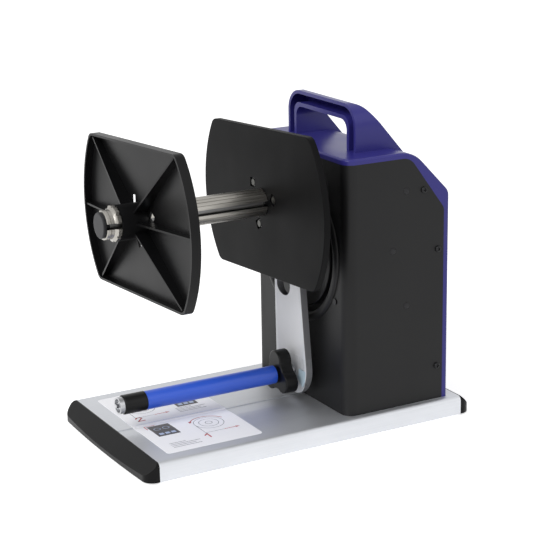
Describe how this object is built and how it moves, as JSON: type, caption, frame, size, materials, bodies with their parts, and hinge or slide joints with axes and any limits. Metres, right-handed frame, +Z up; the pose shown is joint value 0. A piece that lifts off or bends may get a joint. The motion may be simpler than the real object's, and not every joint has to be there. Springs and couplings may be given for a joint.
{
  "type": "label rewinder",
  "caption": "Motor driven bench rewinder for labels: extruded base, housing with a carrying handle, expanding core spindle between two flanges and a swinging tension arm with a roller.",
  "frame": {"origin": "centre of the footprint, on the table", "axes": "+X along the base and the spindle towards the housing, -Y the front long side, +Z up"},
  "size_m": [0.32, 0.21, 0.2805],
  "materials": {
    "deck_aluminium": "fine extruded satin",
    "black_plastic": "fine satin texture",
    "black_gloss_plastic": "semi gloss",
    "purple_plastic": "fine satin texture",
    "blue_roller": "blue anodised",
    "arm_aluminium": "satin",
    "silver_aluminium": "bright satin",
    "sticker_film": "printed film",
    "rubber": "matt",
    "screw_steel": "bright zinc",
    "black_steel": "black oxide",
    "plate_aluminium": "mill finish",
    "steel": "ground",
    "bronze": "sintered",
    "gear_plastic": "moulded",
    "motor_case": "satin",
    "circuit_board": "solder mask",
    "grey_plastic": "satin"
  },
  "bodies": {
    "frame": {"base_plate": "deck_aluminium", "rubber_feet": "rubber", "end_cap_left": "black_plastic", "end_cap_right": "black_plastic", "instruction_sticker": "sticker_film", "housing_body": "black_plastic", "rear_top_cover": "purple_plastic", "cover_screws": "screw_steel", "side_rivets": "black_steel", "side_brackets": "plate_aluminium", "front_disc": "black_gloss_plastic", "disc_screws": "screw_steel", "front_screws": "black_steel", "front_posts": "steel", "housing_bolts": "screw_steel", "chassis_bolts": "screw_steel", "front_bearing_plate": "plate_aluminium", "rear_bearing_plate": "plate_aluminium", "plate_pillars": "steel", "pillar_screws": "screw_steel", "spindle_bearings": "steel", "gear_motor": "motor_case", "motor_screws": "screw_steel", "arm_sensor": "grey_plastic", "arm_bushes": "bronze", "arm_spring": "steel", "stop_pins": "steel", "control_board": "circuit_board", "board_standoffs": "screw_steel", "board_screws": "screw_steel", "power_inlet": "black_gloss_plastic", "power_switch": "black_gloss_plastic"},
    "rocker": {"switch_rocker": "black_gloss_plastic"},
    "spindle": {"spindle_shaft": "steel", "core_tube": "silver_aluminium", "inner_flange": "black_gloss_plastic", "flange_hub": "silver_aluminium", "flange_screws": "screw_steel", "spindle_spacer": "silver_aluminium", "drive_gear": "gear_plastic", "shaft_collar": "steel"},
    "outer_flange": {"outer_flange": "black_gloss_plastic"},
    "shell_1": {"core_shell_1": "silver_aluminium"},
    "shell_2": {"core_shell_2": "silver_aluminium"},
    "shell_3": {"core_shell_3": "silver_aluminium"},
    "lock_knob": {"core_lock_knob": "grey_plastic"},
    "rotor": {"motor_pinion": "bronze", "motor_shaft": "steel"},
    "arm": {"tension_arm": "arm_aluminium", "arm_end_piece": "silver_aluminium", "arm_shaft": "steel", "arm_screw": "screw_steel", "stop_finger": "steel", "roller_axle": "steel", "roller_ring": "silver_aluminium", "knob_spacer": "silver_aluminium"},
    "clamp_knob": {"clamp_knob": "black_gloss_plastic"},
    "roller": {"roller_tube": "blue_roller", "roller_bearings": "grey_plastic", "roller_end_cap": "black_gloss_plastic"}
  },
  "joints": [
    {"name": "spindle_turn", "type": "hinge", "parent": "frame", "child": "spindle", "pos_m": [0, 0, 0.1955], "axis": [1, 0, 0], "continuous": true},
    {"name": "pinion_turn", "type": "hinge", "parent": "frame", "child": "rotor", "pos_m": [0.061, 0.03464, 0.1755], "axis": [1, 0, 0], "continuous": true},
    {"name": "outer_flange_slide", "type": "slide", "parent": "spindle", "child": "outer_flange", "axis": [1, 0, 0], "range_m": [0, 0.09]},
    {"name": "core_lock_turn", "type": "hinge", "parent": "spindle", "child": "lock_knob", "pos_m": [-0.15, 0, 0.1955], "axis": [1, 0, 0], "range_deg": [0, 90]},
    {"name": "shell_1_draw", "type": "slide", "parent": "spindle", "child": "shell_1", "axis": [0, -0.9981, 0.061], "range_m": [0, 0.002]},
    {"name": "shell_2_draw", "type": "slide", "parent": "spindle", "child": "shell_2", "axis": [0, 0.4462, -0.8949], "range_m": [0, 0.002]},
    {"name": "shell_3_draw", "type": "slide", "parent": "spindle", "child": "shell_3", "axis": [0, 0.5519, 0.8339], "range_m": [0, 0.002]},
    {"name": "arm_swing", "type": "hinge", "parent": "frame", "child": "arm", "pos_m": [0.03, 0, 0.1515], "axis": [1, 0, 0], "range_deg": [-25.8, 34.2], "stiffness_Nm_per_rad": 0.15, "springref_deg": -4.41},
    {"name": "clamp_knob_turn", "type": "hinge", "parent": "arm", "child": "clamp_knob", "pos_m": [0.01, -0.00808, 0.0415], "axis": [1, 0, 0], "range_deg": [0, 180]},
    {"name": "roller_spin", "type": "hinge", "parent": "arm", "child": "roller", "pos_m": [-0.06, -0.00808, 0.0415], "axis": [1, 0, 0], "continuous": true},
    {"name": "power_switch_rock", "type": "hinge", "parent": "frame", "child": "rocker", "pos_m": [0.1339, 0.038, 0.0517], "axis": [0, 1, 0], "range_deg": [-18, 0]}
  ],
  "couplings": [
    {"joint": "pinion_turn", "follows": "spindle_turn", "ratio": -4},
    {"joint": "core_lock_turn", "follows": "shell_1_draw", "rad_per_m": 785.4},
    {"joint": "shell_2_draw", "follows": "shell_1_draw", "ratio": 1},
    {"joint": "shell_3_draw", "follows": "shell_1_draw", "ratio": 1}
  ]
}
